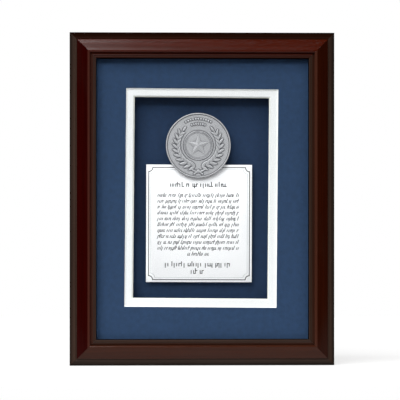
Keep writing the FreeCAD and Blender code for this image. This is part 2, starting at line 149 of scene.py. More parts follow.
def lathe(profile, steps=48):
    """A closed solid turned about the Y axis from (radius, y) points, the first and last on the axis."""
    verts = [Vector((0, profile[0][1], 0))]
    for radius, y in profile[1:-1]:
        for i in range(steps):
            angle = 2 * math.pi * i / steps
            verts.append(Vector((radius * math.cos(angle), y, radius * math.sin(angle))))
    verts.append(Vector((0, profile[-1][1], 0)))
    last = len(verts) - 1
    faces = []
    for i in range(steps):
        j = (i + 1) % steps
        faces.append([0, 1 + i, 1 + j])
        for ring in range(len(profile) - 3):
            a = 1 + ring * steps
            faces.append([a + i, a + steps + i, a + steps + j, a + j])
        faces.append([last, last - steps + j, last - steps + i])
    return make_mesh("lathe", verts, faces)


def arc_points(centre, radius, start, end, steps):
    """Points on an arc in the plane, from start to end in degrees."""
    angles = [math.radians(start + (end - start) * i / steps) for i in range(steps + 1)]
    return [(centre[0] + radius * math.cos(a), centre[1] + radius * math.sin(a)) for a in angles]


def plate(outlines, thickness, edge_radius):
    """A flat plate in the XZ plane, centred on y = 0, with rounded edges. Later outlines are holes."""
    curve = bpy.data.curves.new("plate", "CURVE")
    curve.dimensions = "2D"
    curve.fill_mode = "BOTH"
    curve.extrude = thickness / 2 - edge_radius
    curve.bevel_depth = edge_radius
    curve.bevel_resolution = 2
    curve.offset = -edge_radius
    for outline in outlines:
        spline = curve.splines.new("POLY")
        spline.points.add(len(outline) - 1)
        spline.use_cyclic_u = True
        for point, (x, z) in zip(spline.points, outline):
            point.co = (x, z, 0, 1)
    holder = linked("plate", curve)
    mesh = evaluated_mesh(holder)
    bpy.data.objects.remove(holder)
    work = bmesh.new()
    work.from_mesh(mesh)
    bmesh.ops.remove_doubles(work, verts=work.verts, dist=1e-6)
    work.to_mesh(mesh)
    work.free()
    mesh.transform(Matrix.Rotation(math.pi / 2, 4, "X"))
    return mesh


def carved(mesh, cutter):
    """mesh with cutter taken out of it."""
    holders = [linked("carve", data) for data in (mesh, cutter)]
    modifier = holders[0].modifiers.new("carve", "BOOLEAN")
    modifier.object = holders[1]
    modifier.operation = "DIFFERENCE"
    modifier.solver = "EXACT"
    result = evaluated_mesh(holders[0])
    for holder in holders:
        bpy.data.objects.remove(holder)
    return result


def wire_loop(path, radius, steps=16):
    """A closed round wire along (x, z) points in the XZ plane."""
    count = len(path)
    verts, faces = [], []
    for i, (x, z) in enumerate(path):
        before, after = path[i - 1], path[(i + 1) % count]
        tangent = Vector((after[0] - before[0], 0, after[1] - before[1])).normalized()
        side = Vector((-tangent.z, 0, tangent.x))
        for k in range(steps):
            angle = 2 * math.pi * k / steps
            offset = side * math.cos(angle) + Vector((0, 1, 0)) * math.sin(angle)
            verts.append(Vector((x, 0, z)) + offset * radius)
    for i in range(count):
        faces += bridge(i * steps, (i + 1) % count * steps, steps)
    return make_mesh("wire", verts, faces, 60)


# ---- materials ----

class Look:
    """A Principled material, with short ways to add the nodes that drive it. Colours are linear."""

    def __init__(self, name, **sockets):
        self.material = bpy.data.materials.new(name)
        self.material.use_nodes = True
        self.tree = self.material.node_tree
        self.shader = self.tree.nodes["Principled BSDF"]
        for socket, value in sockets.items():
            self.feed(self.shader, socket.replace("_", " "), value)

    def feed(self, node, key, value):
        if isinstance(value, NodeSocket):
            self.tree.links.new(value, node.inputs[key])
        elif isinstance(value, tuple) and len(value) == 3 and len(node.inputs[key].default_value) == 4:
            node.inputs[key].default_value = (*value, 1)
        else:
            node.inputs[key].default_value = value

    def add(self, kind, inputs, output=0, **settings):
        node = self.tree.nodes.new(kind)
        for setting, value in settings.items():
            setattr(node, setting, value)
        for key, value in inputs.items():
            self.feed(node, key, value)
        return node.outputs[output]

    def place(self):
        """The point's place in the model."""
        return self.add("ShaderNodeTexCoord", {}, "Object")

    def value(self, name, output="Fac"):
        """A value set on the vertices by set_values."""
        return self.add("ShaderNodeAttribute", {}, output, attribute_name=name)

    def stretched(self, vector, scale, offset=(0, 0, 0)):
        return self.add("ShaderNodeMapping", {"Vector": vector, "Scale": scale, "Location": offset})

    def noise(self, vector, scale, detail=3.0, roughness=0.55):
        return self.add("ShaderNodeTexNoise",
                        {"Vector": vector, "Scale": scale, "Detail": detail, "Roughness": roughness})

    def spread(self, value, low, high, to_low=0.0, to_high=1.0):
        """value, with low..high stretched onto to_low..to_high and held at its ends."""
        return self.add("ShaderNodeMapRange", {"Value": value, "From Min": low, "From Max": high,
                                               "To Min": to_low, "To Max": to_high})

    def maths(self, operation, a, b):
        return self.add("ShaderNodeMath", {0: a, 1: b}, operation=operation)

    def mixed(self, factor, a, b):
        return self.add("ShaderNodeMix", {0: factor, 6: a, 7: b}, 2, data_type="RGBA")

    def colour(self, value):
        self.feed(self.shader, "Base Color", value)

    def roughness(self, value):
        self.feed(self.shader, "Roughness", value)

    def bump(self, height, strength, distance):
        normal = self.add("ShaderNodeBump", {"Height": height, "Strength": strength, "Distance": distance})
        self.feed(self.shader, "Normal", normal)


def scaled(colour, factor):
    return tuple(c * factor for c in colour)


# Paler colour added on the crest: a painted highlight.
CREST_PAINTED_HIGHLIGHT = (0.026, 0.0115, 0.0078)
# Black for stain values over 1: partly dark stain at the shoulder's outer edge, partly painted shade in the
# lip's groove and on the inner wall.
BLACK_STAIN_AND_PAINTED_SHADE = (0.0016, 0.0012, 0.0012)


def moulding_wood(name, body, edge, gloss, rub, seed):
    """Mahogany under a satin lacquer, stained on the moulding's edges, with a painted highlight on its crest,
    and bare behind.

    body and edge are the lacquered and the edge colours, gloss is how much the lacquer mirrors, and rub is
    how strong the painted highlight on the crest is. The edge colour is dark stain on the top rail and grey
    painted reflection on the other pieces.
    """
    look = Look(name, IOR=1.5)
    grain = look.value("grain", "Vector")
    shift = (seed * 1.7, seed * 0.9, seed * 0.4)
    figure = look.noise(look.stretched(grain, (14, 70, 70), shift), 1.0, 4.0)
    streaks = look.noise(look.stretched(grain, (9, 900, 900), shift), 1.0, 5.0, 0.6)
    pores = look.noise(look.stretched(grain, (160, 4200, 4200), shift), 1.0, 2.0)
    pore = look.spread(pores, 0.60, 0.72)
    lacquered = look.mixed(look.spread(streaks, 0.34, 0.66), scaled(body, 0.80), scaled(body, 1.22))
    lacquered = look.mixed(look.spread(figure, 0.3, 0.72, 0.0, 0.35), lacquered, scaled(body, 0.66))
    lacquered = look.mixed(look.maths("MULTIPLY", pore, 0.45), lacquered, scaled(body, 0.25))
    # Painted highlight: a paler band on the crest of the stiles, standing for the light caught there.
    wear_and_painted_highlight = look.maths("MULTIPLY", look.value("rub"), look.spread(streaks, 0.3, 0.7, 0.75 * rub, rub))
    painted_crest_highlight_colour = tuple(c + paler for c, paler in zip(body, CREST_PAINTED_HIGHLIGHT))
    lacquered = look.mixed(wear_and_painted_highlight, lacquered, painted_crest_highlight_colour)
    # The edge colour: dark stain on the top rail; on the bottom rail and stiles its grey is painted
    # reflection.
    stain_and_painted_reflection_colour = look.mixed(look.spread(streaks, 0.36, 0.66), scaled(edge, 0.78), scaled(edge, 1.2))
    stain_and_painted_light = look.value("stain_and_painted_light")
    uneven = look.maths("ADD", stain_and_painted_light, look.spread(figure, 0.3, 0.7, -0.08, 0.08))
    with_stain_and_painted_light = look.mixed(look.spread(uneven, 0.0, 1.0), lacquered, stain_and_painted_reflection_colour)
    # Stain values from 1 to 2 go to black: painted shade at the shoulder's outer edge, in the lip's groove
    # and on the inner wall.
    with_stain_and_painted_light = look.mixed(look.spread(stain_and_painted_light, 1.0, 2.0), with_stain_and_painted_light, BLACK_STAIN_AND_PAINTED_SHADE)
    bare_wood = look.mixed(look.spread(streaks, 0.32, 0.68), (0.33, 0.20, 0.11), (0.50, 0.335, 0.20))
    bare_wood = look.mixed(look.maths("MULTIPLY", pore, 0.6), bare_wood, (0.15, 0.08, 0.045))
    bare_wood = look.mixed(look.spread(figure, 0.5, 0.75, 0.0, 0.35), bare_wood, (0.13, 0.06, 0.03))
    bare = look.value("bare")
    look.colour(look.mixed(bare, with_stain_and_painted_light, bare_wood))
    satin = look.spread(streaks, 0.3, 0.7, 0.13, 0.18)
    dulled = look.maths("MULTIPLY", look.maths("MAXIMUM", bare, stain_and_painted_light), 0.36)
    look.roughness(look.maths("ADD", satin, dulled))
    look.feed(look.shader, "Specular IOR Level", look.spread(stain_and_painted_light, 0.0, 1.0, gloss, 0.0))
    look.bump(look.maths("SUBTRACT", look.maths("MULTIPLY", streaks, 0.3), pore), 0.25, 0.00006)
    return look.material


def board(name, colour, fleck, contrast, roughness=0.85):
    """Coloured mat board: matte paper with soft cloudy tone, fine flecks and a felt-like tooth."""
    look = Look(name, Roughness=roughness, IOR=1.4)
    place = look.place()
    cloud = look.noise(place, 210, 3.0)
    tooth = look.noise(place, 2600, 3.0, 0.7)
    fibres = look.noise(look.stretched(place, (1.0, 1.0, 3.0)), 1500, 2.0)
    clouded = look.spread(cloud, 0.3, 0.7)
    tone = look.mixed(clouded, scaled(colour, 1 - contrast), scaled(colour, 1 + contrast))
    tone = look.mixed(look.spread(fibres, 0.62, 0.75, 0.0, 0.35), tone, fleck)
    look.colour(tone)
    look.bump(look.maths("ADD", tooth, look.maths("MULTIPLY", fibres, 0.5)), 0.35, 0.00006)
    return look.material


def mat_core(name, colour):
    """The cut core that a mat's bevel shows, with faint lines of the plies."""
    look = Look(name, Roughness=0.9, IOR=1.4)
    place = look.place()
    plies = look.noise(look.stretched(place, (20, 5200, 20)), 1.0, 1.0)
    tone = look.mixed(look.spread(plies, 0.35, 0.65), scaled(colour, 0.93), colour)
    look.colour(tone)
    look.bump(look.noise(place, 3000, 2.0), 0.2, 0.00004)
    return look.material


def ink(name, roughness, grain, high, dark, pale):
    """Matte print whose tone runs from dark to pale in grains, as ink on paper does."""
    look = Look(name, Roughness=roughness, IOR=1.4)
    wear = look.noise(look.place(), grain, 3.0)
    look.colour(look.mixed(look.spread(wear, 0.35, high), dark, pale))
    return look.material


def antique_nickel():
    """Dull antiqued nickel, darker in the hollows beside the relief."""
    look = Look("antique_nickel", Metallic=0.35, IOR=1.5, Specular_IOR_Level=0.35)
    place = look.place()
    wear = look.value("wear")
    cloud = look.noise(place, 160, 4.0)
    scratches = look.noise(look.stretched(place, (300, 300, 4200)), 1.0, 3.0)
    wear_and_painted_highlight = look.maths("ADD", wear, look.spread(cloud, 0.3, 0.7, -0.06, 0.06))
    tone = look.mixed(look.spread(wear_and_painted_highlight, 0.20, 0.80), (0.09, 0.090, 0.102), (0.505, 0.495, 0.525))
    look.colour(tone)
    rough = look.spread(wear, 0.2, 0.8, 0.62, 0.44)
    look.roughness(look.maths("ADD", rough, look.spread(scratches, 0.3, 0.7, -0.04, 0.06)))
    grit = look.noise(place, 2400, 2.0)
    look.bump(look.maths("ADD", grit, look.maths("MULTIPLY", scratches, 0.4)), 0.12, 0.00005)
    return look.material


def foam_board():
    """White foam with open cells."""
    look = Look("foam_board", Roughness=0.9, IOR=1.35)
    place = look.place()
    cells = look.add("ShaderNodeTexVoronoi", {"Vector": place, "Scale": 1300.0}, "Distance")
    look.colour(look.mixed(look.spread(cells, 0.0, 0.6), (0.70, 0.70, 0.68), (0.86, 0.86, 0.84)))
    look.bump(cells, 0.5, 0.0002)
    return look.material


def hardboard():
    """Brown pressed fibre with the wire mesh's print in its rough side."""
    look = Look("hardboard", IOR=1.4)
    place = look.place()
    cloud = look.noise(place, 22, 5.0)
    fibres = look.noise(look.stretched(place, (1.0, 1.0, 2.2)), 620, 4.0, 0.65)
    chips = look.spread(look.noise(place, 240, 2.0), 0.62, 0.72)
    tone = look.mixed(look.spread(fibres, 0.3, 0.7), (0.095, 0.048, 0.023), (0.20, 0.112, 0.058))
    tone = look.mixed(look.spread(cloud, 0.3, 0.7, 0.0, 0.5), tone, (0.15, 0.082, 0.042))
    tone = look.mixed(look.maths("MULTIPLY", chips, 0.5), tone, (0.27, 0.17, 0.09))
    look.colour(tone)
    look.roughness(look.spread(fibres, 0.3, 0.7, 0.62, 0.82))
    waves = {"Vector": place, "Scale": 160.0, "Distortion": 0.6, "Detail": 1.0}
    mesh_print = look.maths("MAXIMUM", *(look.add("ShaderNodeTexWave", waves, 1, bands_direction=direction)
                                         for direction in ("X", "Z")))
    look.bump(look.maths("ADD", look.maths("MULTIPLY", mesh_print, 0.5), fibres), 0.55, 0.00025)
    return look.material


def plated_steel(name, colour, roughness):
    """Plated sheet steel: fine rolling lines, cloudy plating and a few dull spots."""
    look = Look(name, Metallic=1.0)
    place = look.place()
    lines = look.noise(look.stretched(place, (500, 500, 6500)), 1.0, 3.0)
    cloud = look.noise(place, 420, 4.0)
    spots = look.spread(look.noise(place, 900, 2.0), 0.66, 0.74)
    tone = look.mixed(look.spread(cloud, 0.3, 0.7), scaled(colour, 0.82), colour)
    tone = look.mixed(look.maths("MULTIPLY", spots, 0.4), tone, scaled(colour, 0.45))
    look.colour(tone)
    rough = look.maths("ADD", look.spread(cloud, 0.3, 0.7, roughness - 0.05, roughness + 0.08),
                       look.maths("MULTIPLY", spots, 0.15))
    look.roughness(rough)
    look.bump(lines, 0.15, 0.00004)
    return look.material


def bumper_rubber():
    look = Look("bumper_rubber", IOR=1.5)
    place = look.place()
    dust = look.noise(place, 500, 4.0)
    look.colour(look.mixed(look.spread(dust, 0.4, 0.8), (0.012, 0.012, 0.012), (0.05, 0.049, 0.047)))
    look.roughness(look.spread(dust, 0.3, 0.7, 0.55, 0.75))
    look.bump(look.noise(place, 2500, 2.0), 0.3, 0.00008)
    return look.material


def pane_glass():
    """Thin clear glass: what is behind shows straight through, and it mirrors more at a slant."""
    look = Look("pane_glass")
    facing = look.add("ShaderNodeLayerWeight", {"Blend": 0.5}, "Facing")
    slant = look.maths("POWER", facing, 4.0)
    mirror_share = look.spread(slant, 0.0, 1.0, 0.012, 0.9)
    smears = look.noise(look.place(), 12, 4.0)
    clear = look.add("ShaderNodeBsdfTransparent", {"Color": (0.975, 0.985, 0.98)})
    mirror = look.add("ShaderNodeBsdfGlossy", {"Roughness": look.spread(smears, 0.4, 0.7, 0.02, 0.07)})
    pane = look.add("ShaderNodeMixShader", {0: mirror_share, 1: clear, 2: mirror})
    look.feed(look.tree.nodes["Material Output"], "Surface", pane)
    look.tree.nodes.remove(look.shader)
    return look.material


# ---- the moulding ----

TOP_LOW, TOP_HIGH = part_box("top_rail")
BACK_Y = TOP_HIGH.y
HALF_WIDTH = TOP_HIGH.x
HALF_HEIGHT = TOP_HIGH.z
FACE_WIDTH = TOP_HIGH.z - TOP_LOW.z
RABBET_DEPTH = BACK_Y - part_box("glazing")[0].y
RABBET_WIDTH = 7.4 * MM
LENGTH_STEPS = 60
MITRE_GAP = 0.05 * MM

# The moulding's section in millimetres: (across from the outer side, rise from the back).
SHOULDER_CENTRE = (6.0, 21.0)
SHOULDER_RADIUS = 6.0
FILLET_END = (6.6, 27.2)
PANEL_START = (6.9, 28.6)
PANEL_BULGE = 0.55
CREST = (17.9, 33.5)
CREST_ROLL_RADIUS = 1.8
GROOVE_RISE = 30.3
GROOVE_WIDTH = 0.3
LIP_PEAK = (24.4, 32.1)
LIP_NOSE = (24.95, 31.1)
LIP_BULGE = 0.3
INNER_WALL_TOP = (25.0, 30.5)
SIDE_STAIN_END = 20.3
BACK_STAIN_END = 3.5


def rounded(corners, steps=4):
    """An outline from (across, rise, corner radius, finish) corners, with the corners turned into arcs."""
    points = []
    for i, (x, y, radius, finish) in enumerate(corners):
        here = Vector((x, y))
        if not radius:
            points.append((x, y, finish))
            continue
        before = (Vector(corners[i - 1][:2]) - here).normalized()
        after = (Vector(corners[(i + 1) % len(corners)][:2]) - here).normalized()
        half_turn = before.angle(after) / 2
        reach = radius / math.tan(half_turn)
        centre = here + (before + after).normalized() * radius / math.sin(half_turn)
        start, end = here + before * reach - centre, here + after * reach - centre
        turn = start.angle_signed(end)
        for k in range(steps + 1):
            angle = -turn * k / steps
            turned = Vector((start.x * math.cos(angle) - start.y * math.sin(angle),
                             start.x * math.sin(angle) + start.y * math.cos(angle)))
            points.append((*(centre + turned), finish))
    return points


def bulged_run(start, end, bulge, steps):
    """Points from start to end on a shallow curve that rises by bulge in its middle."""
    start, end = Vector(start), Vector(end)
    chord = end - start
    left = Vector((-chord.y, chord.x)).normalized()
    return [start + chord * t + left * bulge * 4 * t * (1 - t) for t in (i / steps for i in range(steps + 1))]


# A finish is (stain, bare, crest highlight): stain runs from 0, lacquered, through 1, the edge colour (grey
# painted reflection on the bottom rail and stiles), to 2, black (partly painted shade); the crest highlight
# is a painted highlight.
SIDE_FINISH = (0.5, 0.0, 0.0)
DARK_FINISH = (1.0, 0.0, 0.0)
PAINTED_SHADE_BLACK_FINISH = (2.0, 0.0, 0.0)
BACK_CORNER_FINISH = (0.8, 0.5, 0.0)
RABBET_FINISH = (0.3, 0.8, 0.0)
RAW_FINISH = (0.0, 1.0, 0.0)
# (across, value) pairs, in millimetres
# Darker towards the shoulder's outer edge: dark stain with painted shade on the roundover.
SHOULDER_STAIN_AND_PAINTED_SHADE = ((0.0, 1.95), (0.5, 1.55), (2.5, 1.25), (4.5, 0.95), (6.3, 0.6))
# The front: 0.3 to 0.75 over the lip dulls it, and 1.25 from 22.6 to 22.9 mm is a painted shadow line in the
# lip's groove.
FRONT_STAIN_AND_PAINTED_LIGHT = ((6.3, 0.8), (7.0, 0.0), (19.7, 0.0), (20.2, 0.30), (22.2, 0.34), (22.6, 1.25), (22.9, 1.25),
               (23.3, 0.55), (24.4, 0.75), (25.0, 1.0))
# Where the stiles' crest gets its painted highlight.
CREST_HIGHLIGHT_SPREAD = ((16.6, 0.0), (17.6, 1.0), (21.2, 0.8), (22.4, 0.0))


def along_curve(across, pairs):
    return float(np.interp(across, *zip(*pairs)))


def front_finish(across):
    """The finish of the lacquered front, between the shoulder and the lip's nose, with a painted shadow line
    in the lip's groove and a painted highlight on the crest.
    """
    return (along_curve(across, FRONT_STAIN_AND_PAINTED_LIGHT), 0.0, along_curve(across, CREST_HIGHLIGHT_SPREAD))


def shoulder_finish(across):
    """The finish of the rounded shoulder: dark stain, darkened to almost black at its outer edge as painted
    shade, and browner near the panel.
    """
    return (along_curve(across, SHOULDER_STAIN_AND_PAINTED_SHADE), 0.0, 0.0)


def moulding_outline():
    """The moulding's section as (across, rise, finish) points, in metres, from the outer side to the back."""
    roll_centre = (CREST[0], CREST[1] - CREST_ROLL_RADIUS)
    wall_foot = Vector((CREST[0] + CREST_ROLL_RADIUS, GROOVE_RISE))
    lip_start = (CREST[0] + CREST_ROLL_RADIUS + GROOVE_WIDTH, GROOVE_RISE)
    shoulder = arc_points(SHOULDER_CENTRE, SHOULDER_RADIUS, 180, 100, 16)
    panel = bulged_run(PANEL_START, CREST, PANEL_BULGE, 24)
    roll = arc_points(roll_centre, CREST_ROLL_RADIUS, 90, 0, 12)
    lip = bulged_run(lip_start, LIP_PEAK, LIP_BULGE, 22)
    nose = bulged_run(LIP_PEAK, LIP_NOSE, LIP_BULGE, 4)
    corners = [
        (0.0, 0.0, 0.5, BACK_CORNER_FINISH),
        (0.0, BACK_STAIN_END, 0, SIDE_FINISH),
        (0.0, SIDE_STAIN_END, 0, SIDE_FINISH),
    ]
    corners += [(x, y, 0, shoulder_finish(x)) for x, y in shoulder]
    corners += [(*FILLET_END, 0.08, DARK_FINISH)]
    for run in (panel, roll[1:], [wall_foot], lip, nose[1:]):
        corners += [(x, y, 0, front_finish(x)) for x, y in run]
    depth, width, rabbet = (v / MM for v in (RABBET_DEPTH, FACE_WIDTH, FACE_WIDTH - RABBET_WIDTH))
    corners += [
        # The inner wall and its corner are black: painted shade along the sight edge.
        (*INNER_WALL_TOP, 0, PAINTED_SHADE_BLACK_FINISH),
        (width, depth, 0.12, PAINTED_SHADE_BLACK_FINISH),
        (rabbet, depth, 0, RABBET_FINISH),
        (rabbet, 0.0, 0.25, RAW_FINISH),
    ]
    return [(x * MM, y * MM, finish) for x, y, finish in rounded(corners)]


def moulding(name, along, outward, half_length, outer, material):
    """A mitred length of moulding with its grain running along it."""
    outline = moulding_outline()
    count = len(outline)
    verts, grain, finishes = [], [], []
    for step in range(LENGTH_STEPS + 1):
        t = 2 * step / LENGTH_STEPS - 1
        for across, rise, finish in outline:
            run = t * (half_length - across - MITRE_GAP)
            verts.append(along * run + outward * (outer - across) + Vector((0, BACK_Y - rise, 0)))
            grain.append((run, across, rise))
            finishes.append(finish)
    faces = []
    for step in range(LENGTH_STEPS):
        faces += bridge(step * count, (step + 1) * count, count)
    faces.append(list(range(count)))
    faces.append([LENGTH_STEPS * count + i for i in range(count)])
    mesh = make_mesh(name, verts, faces, 32)
    set_values(mesh, "grain", grain, "FLOAT_VECTOR")
    for name_of_value, values in zip(("stain_and_painted_light", "bare", "rub"), zip(*finishes)):
        set_values(mesh, name_of_value, values)
    add_piece(f"{name}_wood", mesh, [material], replaces=[name])


NAIL_LEG = 3.2 * MM
NAIL_WALL = 0.5 * MM
NAIL_DEPTH = 10 * MM
NAIL_PROUD = 0.04 * MM
NAIL_DISTANCES = (5.5 * MM, 12.5 * MM)


def v_nails():
    """The back ends of the V nails, a hair proud of the wood where each mitre meets."""
    leg, wall = NAIL_LEG, NAIL_WALL
    outline = [(0, 0), (leg, 0), (leg, wall), (wall, wall), (wall, leg), (0, leg)]
    count = len(outline)
    verts, faces = [], []
    for side_x, side_z, distance in itertools.product((-1, 1), (-1, 1), NAIL_DISTANCES):
        first = len(verts)
        for y in (BACK_Y - NAIL_DEPTH, BACK_Y + NAIL_PROUD):
            for a, b in outline:
                verts.append((side_x * (HALF_WIDTH - distance - a), y, side_z * (HALF_HEIGHT - distance - b)))
        faces += [[start + k for k in range(count)] for start in (first, first + count)]
        faces += bridge(first, first + count, count)
    return make_mesh("v_nails", verts, faces)


# ---- mats and card ----

def corners_on(node, y, inner):
    """A node's corners on the plane y, in order round the sheet: its window's if inner, or its outline's."""
    low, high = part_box(node)
    found = []
    for v in frame["nodes"][node].data.vertices:
        on_outline = min(v.co.x - low.x, high.x - v.co.x, v.co.z - low.z, high.z - v.co.z) < 0.01 * MM
        if abs(v.co.y - y) < 0.01 * MM and on_outline != inner:
            if all((v.co - other).length > 0.1 * MM for other in found):
                found.append(v.co.copy())
    centre = sum(found, Vector()) / len(found)
    return sorted(found, key=lambda p: math.atan2(p.z - centre.z, p.x - centre.x))


def windowed_mat(node, face_material, core_material):
    """A mat board: paper face and back, and a bevel that shows the core under the paper's thin edge."""
    low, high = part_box(node)
    paper = 0.16 * MM
    front, rear = corners_on(node, low.y, True), corners_on(node, high.y, True)
    under_paper = [f.lerp(r, paper / (high.y - low.y)) for f, r in zip(front, rear)]
    outline = [(low.x, low.z), (high.x, low.z), (high.x, high.z), (low.x, high.z)]
    rings = [
        [Vector((x, low.y, z)) for x, z in outline],
        front, under_paper, rear,
        [Vector((x, high.y, z)) for x, z in outline],
    ]
    verts = [p for ring in rings for p in ring]
    faces, is_core = [], []
    for level in range(len(rings)):
        faces += bridge(level * 4, (level + 1) % len(rings) * 4, 4)
        is_core += [level == 2] * 4
    mesh = make_mesh(node, verts, faces, 20)
    add_piece(f"{node}_board", mesh, [face_material, core_material], replaces=[node])
    for polygon, core in zip(mesh.polygons, is_core):
        polygon.material_index = 1 if core else 0


class CardPlane:
    """Places on the card's front, measured from its centre along its own width and height."""

    def __init__(self):
        low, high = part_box("award_card")
        vertices = frame["nodes"]["award_card"].data.vertices
        corners = [v.co for v in vertices if abs(v.co.y - low.y) < 0.01 * MM]
        bottom_left = min(corners, key=lambda p: p.x + p.z)
        bottom_right = max(corners, key=lambda p: p.x - p.z)
        top_left = max(corners, key=lambda p: p.z - p.x)
        self.front = low.y
        self.back = high.y
        self.width = (bottom_right - bottom_left).length
        self.height = (top_left - bottom_left).length
        self.across = (bottom_right - bottom_left).normalized()
        self.up = (top_left - bottom_left).normalized()
        self.centre = (low + high) / 2

    def at(self, x, z, lift=0.0):
        point = self.centre + self.across * x + self.up * z
        return Vector((point.x, self.front - lift, point.z))


def card_sheet(card):
    """The card: a thin sheet with softened edges."""
    steps, edge = 12, 0.12 * MM
    thickness = card.back - card.front
    signs = ((-1, -1), (1, -1), (1, 1), (-1, 1))
    verts, faces = [], []
    for inset, depth in ((edge, 0.0), (0.0, edge), (0.0, thickness - edge), (edge, thickness)):
        half_w, half_h = card.width / 2 - inset, card.height / 2 - inset
        for (x, z), (next_x, next_z) in zip(signs, signs[1:] + signs[:1]):
            for i in range(steps):
                across, up = (here + (there - here) * i / steps for here, there in ((x, next_x), (z, next_z)))
                verts.append(card.at(half_w * across, half_h * up, -depth))
    count = 4 * steps
    for level in range(3):
        faces += bridge(level * count, (level + 1) * count, count)
    faces += [[start + i for i in range(count)] for start in (0, 3 * count)]
    return make_mesh("card", verts, faces, 50)


INK_LIFT = 0.03 * MM


def ink_stroke(card, path, width, verts, faces):
    """A thin slab of ink along a path of (x, z) points on the card."""
    for (x0, z0), (x1, z1) in zip(path, path[1:]):
        length = math.hypot(x1 - x0, z1 - z0)
        if length < 1e-7:
            continue
        ux, uz = (x1 - x0) / length * width / 2, (z1 - z0) / length * width / 2
        outline = [(x0 - ux + uz, z0 - uz - ux), (x1 + ux + uz, z1 + uz - ux),
                   (x1 + ux - uz, z1 + uz + ux), (x0 - ux - uz, z0 - uz + ux)]
        first = len(verts)
        for lift in (INK_LIFT, 0.0):
            verts.extend(card.at(x, z, lift) for x, z in outline)
        faces.append([first, first + 1, first + 2, first + 3])
        faces.append([first + 7, first + 6, first + 5, first + 4])
        faces.extend(bridge(first, first + 4, 4))


def mark(height, slant, broad):
    """One mark of a greeked line: (strokes, advance). It is a tick, at times with a dash, and no letter."""
    middle, tall, deep = height * 0.60, height * 1.02, -height * 0.34
    advance = height * RNG.choice((0.34, 0.40, 0.46, 0.54)) * broad
    foot, head = RNG.choice(((0.0, middle), (0.0, middle), (0.0, middle), (0.0, tall), (deep, middle)))
    strokes = [[(0, foot), (0, head)]]
    if RNG.random() < 0.38:
        dash = RNG.choice((0.0, middle))
        strokes.append([(0, dash), (advance * 0.62, dash)])
    leaned = [[(x + z * slant, z) for x, z in stroke] for stroke in strokes]
    return leaned, advance


def greeked_line(card, centre_x, base_z, width, height, thickness, verts, faces, slant=0.38, broad=1.0):
    """A line of words made of marks, fitted to a width."""
    glyphs, x = [], 0.0
    while x < width:
        for _ in range(RNG.choice((2, 3, 4, 5, 6, 7, 8))):
            strokes, advance = mark(height, slant, broad)
            glyphs.append((x, strokes))
            x += advance
            if x >= width:
                break
        x += height * 0.45 * broad
    end = max(start + max(p[0] for stroke in strokes for p in stroke) for start, strokes in glyphs)
    fit = width / end
    for start, strokes in glyphs:
        for stroke in strokes:
            path = [(centre_x - width / 2 + (start + px) * fit, base_z + pz) for px, pz in stroke]
            ink_stroke(card, path, thickness, verts, faces)


def notched_border(half_w, half_h, notch, steps=8):
    """A rectangle whose corners are scooped out by quarter circles about them."""
    path = []
    for centre, start in (((half_w, -half_h), 180), ((half_w, half_h), 270),
                          ((-half_w, half_h), 0), ((-half_w, -half_h), 90)):
        path += arc_points(centre, notch, start, start - 90, steps)
    return path + path[:1]


BORDER_HALF_WIDTH, BORDER_HALF_HEIGHT = 48.3 * MM, 53.7 * MM
BORDER_Z = -0.2 * MM
BORDER_NOTCH = 3.9 * MM
INNER_BORDER_INSET = 2.1 * MM
TEXT_X = -0.9 * MM
LINE_GAP = 5.62 * MM
LINE_HEIGHT = 3.1 * MM
FIRST_LINE_Z = 27.3 * MM - LINE_HEIGHT / 2
FULL_LINES = 10
FULL_WIDTH, LAST_WIDTH = 77.6 * MM, 20.2 * MM
# (x, base z, width, height, stroke) in millimetres
HEADING = (-0.9, 35.4, 53.4, 3.9, 0.85)
CLOSING_LINES = ((-1.5, -40.7, 61.4, 3.9, 0.80), (-1.5, -47.8, 11.8, 4.4, 0.80))


def card_border(card, inset, stroke, verts, faces):
    """One line of the border, drawn inset from the outer line."""
    path = notched_border(BORDER_HALF_WIDTH - inset, BORDER_HALF_HEIGHT - inset, BORDER_NOTCH)
    ink_stroke(card, [(x, z + BORDER_Z) for x, z in path], stroke, verts, faces)


def card_print(card, dark_ink, silver_ink):
    """The card's print: a double notched border, a heading, a block of lines and two closing lines."""
    verts, faces = [], []

    def upright(line):
        greeked_line(card, *(size * MM for size in line), verts, faces, slant=0.0, broad=1.15)

    card_border(card, 0.0, 0.75 * MM, verts, faces)
    upright(HEADING)
    for row in range(FULL_LINES + 1):
        width = LAST_WIDTH if row == FULL_LINES else FULL_WIDTH
        greeked_line(card, TEXT_X, FIRST_LINE_Z - row * LINE_GAP, width, LINE_HEIGHT, 0.60 * MM, verts, faces)
    for line in CLOSING_LINES:
        upright(line)
    add_piece("card_print", make_mesh("card_print", verts, faces), [dark_ink])
    verts, faces = [], []
    card_border(card, INNER_BORDER_INSET, 0.4 * MM, verts, faces)
    add_piece("card_border_inner", make_mesh("card_border_inner", verts, faces), [silver_ink])


# ---- the medallion ----

def smooth_step(values, low, high):
    t = np.clip((values - low) / (high - low), 0, 1)
    return t * t * (3 - 2 * t)


def ridge(distance, half_width, height):
    """A rounded ridge about distance = 0."""
    t = np.clip(1 - (distance / half_width) ** 2, 0, 1)
    return height * np.sqrt(t)


